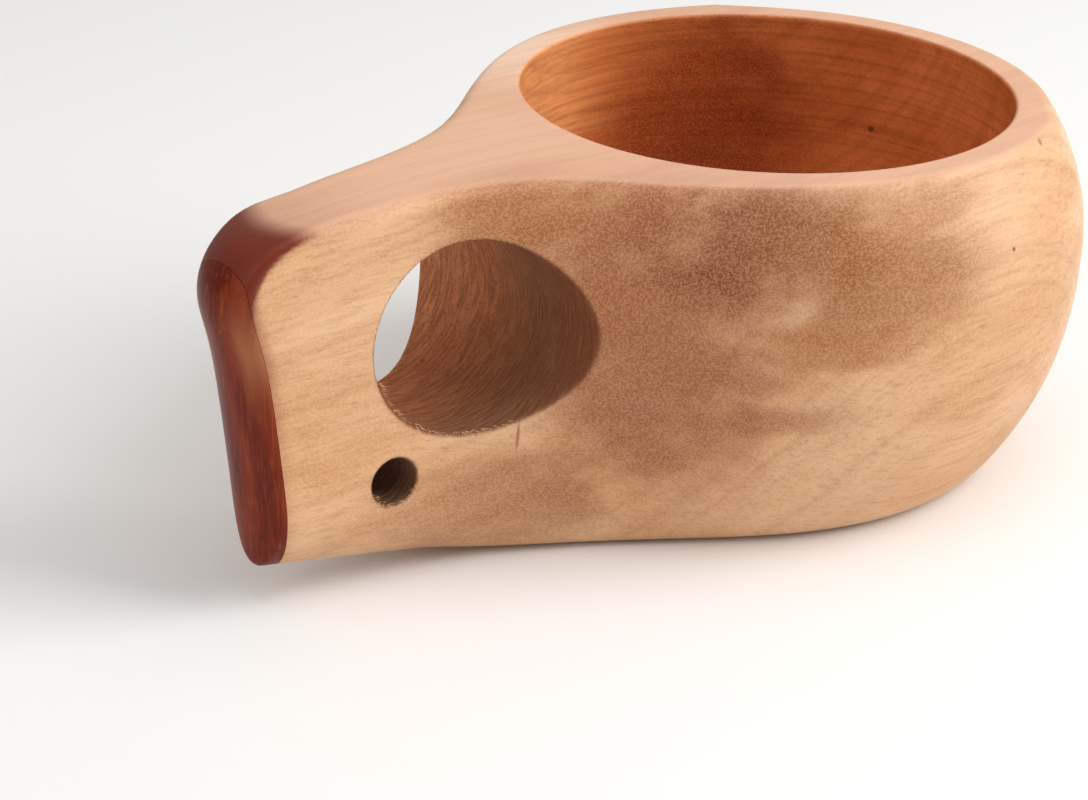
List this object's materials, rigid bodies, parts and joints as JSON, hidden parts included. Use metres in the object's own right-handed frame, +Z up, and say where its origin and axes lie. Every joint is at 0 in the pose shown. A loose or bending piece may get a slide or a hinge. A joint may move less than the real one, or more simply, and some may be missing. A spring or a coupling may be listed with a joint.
{
  "type": "kuksa wooden cup",
  "caption": "Carved wooden drinking cup with a round bowl, a tapered side handle bored for a finger and a lanyard, and a dark wood end piece.",
  "frame": {"origin": "centre of the flat foot under the bowl, on the plane the cup stands on", "axes": "+Z up through the bowl's mouth; the handle points to -X; Y across the handle, along the finger bore"},
  "size_m": [0.15, 0.0978, 0.0585],
  "materials": {
    "body_wood": "pale honey hardwood, fine sanded, thin matt oil",
    "end_wood": "dark red-brown hardwood, oiled and rubbed to a soft gloss",
    "dowel_wood": "plain turned dowel, unfinished"
  },
  "bodies": {
    "root": {"cup_body": "body_wood", "handle_end_cap": "end_wood", "cap_dowel_upper": "dowel_wood", "cap_dowel_lower": "dowel_wood"}
  },
  "joints": []
}
